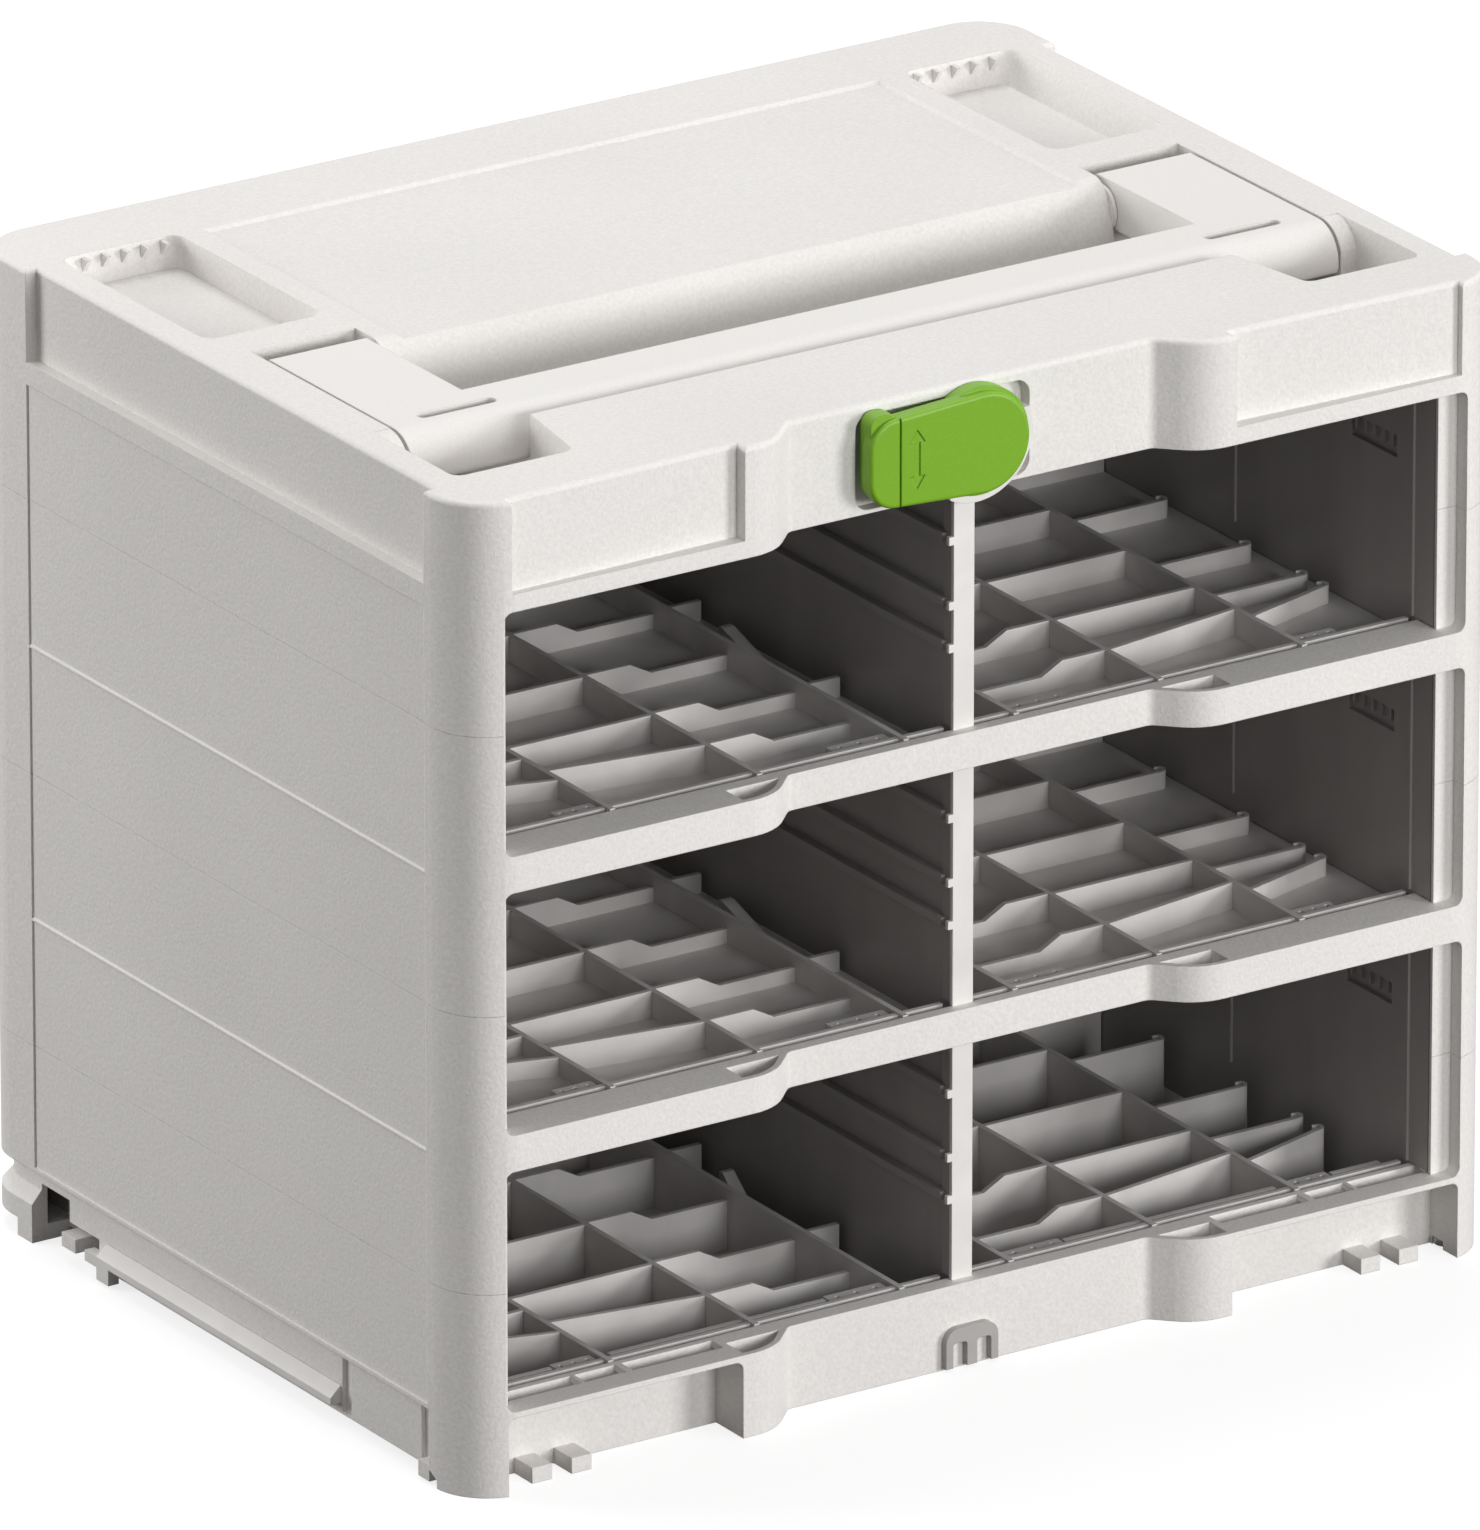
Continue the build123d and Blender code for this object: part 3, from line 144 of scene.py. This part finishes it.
def grained_plastic(name, pale, deep, grain_mm, bump_mm, roughness, edge_mm=0.5):
    """Moulded plastic with an eroded grain, drawn coarser than the real 0.3 mm so that it shows."""
    made, tree, out = new_material(name)
    place = node(tree, "ShaderNodeTexCoord").outputs["Object"]
    grain = node(tree, "ShaderNodeTexNoise",
                 {"Vector": place, "Scale": MM_PER_M / grain_mm, "Detail": 2.0, "Roughness": 0.6})
    cloud = node(tree, "ShaderNodeTexNoise",
                 {"Vector": place, "Scale": MM_PER_M / DEEP_CLOUD_MM, "Detail": 1.0})
    both = node(tree, "ShaderNodeMath",
                {0: cloud.outputs["Fac"], 1: CLOUD_SHARE, 2: grain.outputs["Fac"]},
                operation="MULTIPLY_ADD")
    tone = node(tree, "ShaderNodeValToRGB", {"Fac": both.outputs[0]})
    tone.color_ramp.elements[0].position = 0.38
    tone.color_ramp.elements[0].color = linear(deep)
    tone.color_ramp.elements[1].position = 0.95
    tone.color_ramp.elements[1].color = linear(pale)
    sheen = node(tree, "ShaderNodeMapRange",
                 {"Value": grain.outputs["Fac"], "From Min": 0.3, "From Max": 0.7,
                  "To Min": roughness - 0.06, "To Max": roughness + 0.08})
    edge = node(tree, "ShaderNodeBevel", {"Radius": edge_mm / MM_PER_M}, samples=EDGE_SAMPLES)
    bump = node(tree, "ShaderNodeBump", {"Strength": 0.6, "Distance": bump_mm / MM_PER_M,
                                         "Height": grain.outputs["Fac"], "Normal": edge.outputs[0]})
    plastic = node(tree, "ShaderNodeBsdfPrincipled",
                   {"Base Color": tone.outputs["Color"], "Roughness": sheen.outputs[0],
                    "Normal": bump.outputs[0], "IOR": 1.5})
    tree.links.new(plastic.outputs[0], out.inputs["Surface"])
    return made


def finish_nodes(material, *names):
    """Gives CAD nodes one material in all their slots."""
    for name in names:
        slots = nodes[name].data.materials
        slots.clear()
        slots.append(material)


eroded_abs = grained_plastic("light_grey_eroded_abs", BODY_PALE, BODY_DEEP,
                             grain_mm=ERODED_GRAIN_MM, bump_mm=0.22, roughness=0.55)
finish_nodes(eroded_abs, "base_frame", "lower_frame", "upper_frame", "top_cover")


# Stack screws and handle pins
# Steel rods with a bright zinc plating. They stand between the walls and only their heads
# show, from below. The plating is smooth with faint streaks along the drawn rod.

STREAKS_PER_M = (900, 900, 60)
zinc, tree, out = new_material("bright_zinc_plated_steel")
place = node(tree, "ShaderNodeTexCoord").outputs["Object"]
along = node(tree, "ShaderNodeMapping", {"Vector": place, "Scale": STREAKS_PER_M})
streaks = node(tree, "ShaderNodeTexNoise",
               {"Vector": along.outputs[0], "Scale": 1.0, "Detail": 3.0})
shine = node(tree, "ShaderNodeMapRange",
             {"Value": streaks.outputs["Fac"], "To Min": 0.22, "To Max": 0.42})
metal = node(tree, "ShaderNodeBsdfPrincipled",
             {"Base Color": linear("#C4C6C8"), "Metallic": 1.0, "Roughness": shine.outputs[0]})
tree.links.new(metal.outputs[0], out.inputs["Surface"])
finish_nodes(zinc, "tie_rods", "handle_pin_left", "handle_pin_right", "latch_washer", "latch_screw")


# Shelf trays and their snap tabs
# Trays moulded in mid grey polypropylene. Their ribs are thin and have no grain: the face is
# smooth with faint flow waves, and it has a soft gloss.

LEVELS = ("bottom", "middle", "top")
SIDES = ("left", "right")
POLISH_MARKS_PER_M = 1400.0


def smooth_plastic(name, pale, deep, wave_mm, bump_mm, roughness,
                   stretch=(1, 1, 1), edge_mm=0.3):
    """Ungrained moulded plastic with slow flow waves in its colour, gloss and surface."""
    made, tree, out = new_material(name)
    place = node(tree, "ShaderNodeTexCoord").outputs["Object"]
    along = node(tree, "ShaderNodeMapping", {"Vector": place, "Scale": stretch})
    wave = node(tree, "ShaderNodeTexNoise",
                {"Vector": along.outputs[0], "Scale": MM_PER_M / wave_mm,
                 "Detail": 3.0, "Distortion": 0.4})
    fine = node(tree, "ShaderNodeTexNoise",
                {"Vector": place, "Scale": POLISH_MARKS_PER_M, "Detail": 1.0})
    tone = node(tree, "ShaderNodeValToRGB", {"Fac": wave.outputs["Fac"]})
    tone.color_ramp.elements[0].position = 0.3
    tone.color_ramp.elements[0].color = linear(deep)
    tone.color_ramp.elements[1].position = 0.7
    tone.color_ramp.elements[1].color = linear(pale)
    gloss = node(tree, "ShaderNodeMapRange",
                 {"Value": wave.outputs["Fac"],
                  "To Min": roughness - 0.08, "To Max": roughness + 0.1})
    edge = node(tree, "ShaderNodeBevel", {"Radius": edge_mm / MM_PER_M}, samples=EDGE_SAMPLES)
    bump = node(tree, "ShaderNodeBump", {"Strength": 0.4, "Distance": bump_mm / MM_PER_M,
                                         "Height": fine.outputs["Fac"], "Normal": edge.outputs[0]})
    plastic = node(tree, "ShaderNodeBsdfPrincipled",
                   {"Base Color": tone.outputs["Color"], "Roughness": gloss.outputs[0],
                    "Normal": bump.outputs[0], "IOR": 1.49})
    tree.links.new(plastic.outputs[0], out.inputs["Surface"])
    return made


tray_grey = smooth_plastic("mid_grey_polypropylene", "#CFCCCA", "#C0BDBB",
                           wave_mm=24.0, bump_mm=0.04, roughness=0.42)
for level in LEVELS:
    for side in SIDES:
        finish_nodes(tray_grey, f"shelf_tray_{level}_{side}", f"tray_clips_{level}_{side}")


# Inner walls, middle walls and ceiling
# Thin liners moulded in grey polypropylene. Their colour is darker than the housing's as painted
# shade, for the shade that falls deep inside the cells. Their large plain faces show upright flow
# marks from filling, and a satin gloss that picks up the light of the openings.

# painted shade: the liners' darker grey stands in for the shade inside the cells
liner_painted_shade = smooth_plastic("grey_polypropylene_painted_shade", "#A29E9C", "#979391",
                            wave_mm=30.0, bump_mm=0.03, roughness=0.38, stretch=(1, 1, 0.25))
finish_nodes(liner_painted_shade, "ceiling_panel")
for level in LEVELS:
    finish_nodes(liner_painted_shade, "partition_panel_" + level)
    for side in SIDES:
        finish_nodes(liner_painted_shade, f"side_liner_{level}_{side}")


# Middle uprights
# Slim caps in the housing's light grey, clipped on the front of each middle wall. They are
# smooth, as trim from a polished mould is.

trim_grey = smooth_plastic("light_grey_smooth_abs", "#E8E5E2", "#DFDCD9",
                           wave_mm=18.0, bump_mm=0.03, roughness=0.45, edge_mm=0.4)
for level in LEVELS:
    finish_nodes(trim_grey, "mullion_" + level)


# Carry handle
# One thick hollow moulding in the housing's grey, which folds flat into the deck. Its grain is
# finer than the housing's, so that it is smooth in the hand.

handle_abs = grained_plastic("light_grey_fine_eroded_abs", "#EAE7E4", "#E0DDDA",
                             grain_mm=0.8, bump_mm=0.05, roughness=0.5, edge_mm=0.8)
finish_nodes(handle_abs, "carry_handle")


# Turning latch and its seat
# The latch is moulded in apple green ABS with a satin, finely eroded face and rounded edges.
# The part ring that it turns on is in the housing's light grey.

latch_green = grained_plastic("apple_green_satin_abs", "#7AAC14", "#70A40E",
                              grain_mm=0.7, bump_mm=0.03, roughness=0.42, edge_mm=0.7)
finish_nodes(latch_green, "latch_lever")
finish_nodes(trim_grey, "latch_seat")


# Bottom catch and coupling rails
# The rails are smooth mouldings in the housing's light grey, which slide along a case below.
# The catch is in a darker grey, from a polished mould.

finish_nodes(trim_grey, "coupling_rail_left", "coupling_rail_right")
catch_grey = smooth_plastic("mid_grey_smooth_abs", "#B2AFAD", "#A8A5A3",
                            wave_mm=15.0, bump_mm=0.03, roughness=0.4)
finish_nodes(catch_grey, "bottom_catch")
